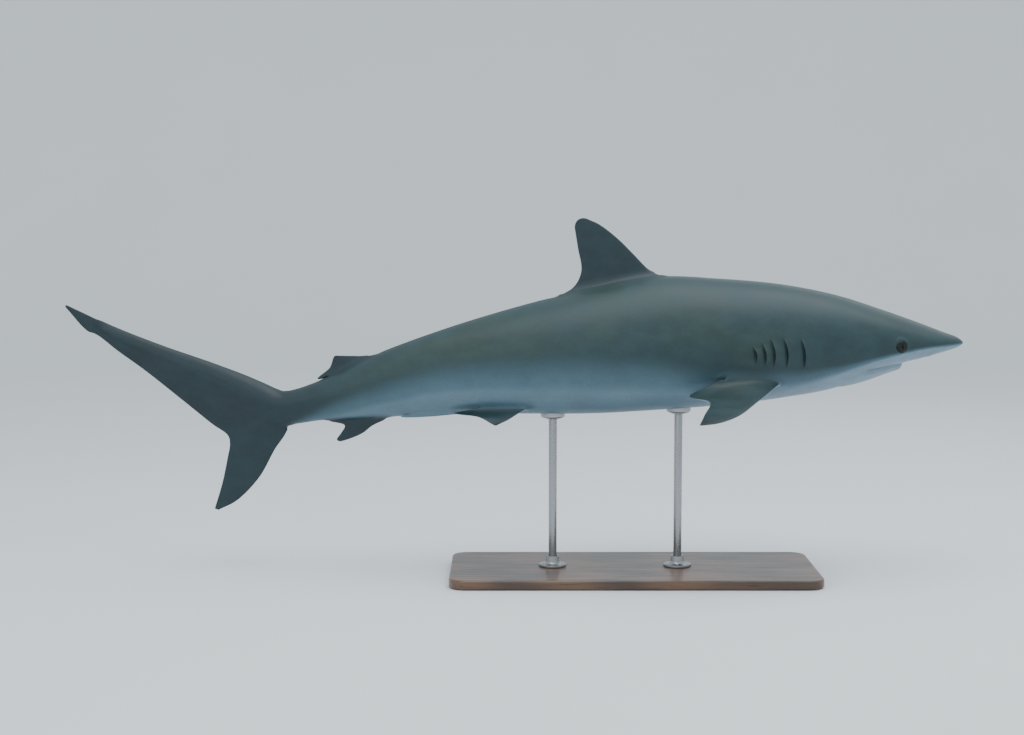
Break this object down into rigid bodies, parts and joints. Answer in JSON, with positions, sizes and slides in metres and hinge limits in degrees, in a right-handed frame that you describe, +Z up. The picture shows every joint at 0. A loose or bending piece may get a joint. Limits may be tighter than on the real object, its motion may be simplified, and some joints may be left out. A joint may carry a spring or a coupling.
{
  "type": "silky shark display model",
  "caption": "Life-size still model of a swimming silky shark, grey above and white below, held over a flat wooden base by slim steel rods.",
  "frame": {"origin": "middle of the underside of the stand's base", "axes": "+X towards the snout, +Y to the shark's left side, +Z up"},
  "size_m": [2.2, 0.713, 0.884],
  "materials": {
    "skin": "satin shark skin, slate grey with a green cast above, blue-grey flanks and a white belly",
    "eye": "polished dark eye with a vertical pupil",
    "base_wood": "dark stained walnut, satin",
    "steel": "brushed, turned"
  },
  "bodies": {
    "root": {"head": "skin", "lower_jaw": "skin", "gill_region": "skin", "trunk": "skin", "abdomen": "skin", "tail_stalk": "skin", "first_dorsal_fin": "skin", "second_dorsal_fin": "skin", "anal_fin": "skin", "pectoral_fin_left": "skin", "pectoral_fin_right": "skin", "pelvic_fin_left": "skin", "pelvic_fin_right": "skin", "tail_fin_upper_lobe": "skin", "tail_fin_lower_lobe": "skin", "clasper_left": "skin", "clasper_right": "skin", "eye_left": "eye", "eye_right": "eye", "stand_base": "base_wood", "stand_rod_front": "steel", "stand_rod_rear": "steel", "stand_flange_front": "steel", "stand_flange_rear": "steel", "stand_cup_front": "steel", "stand_cup_rear": "steel"}
  },
  "joints": []
}
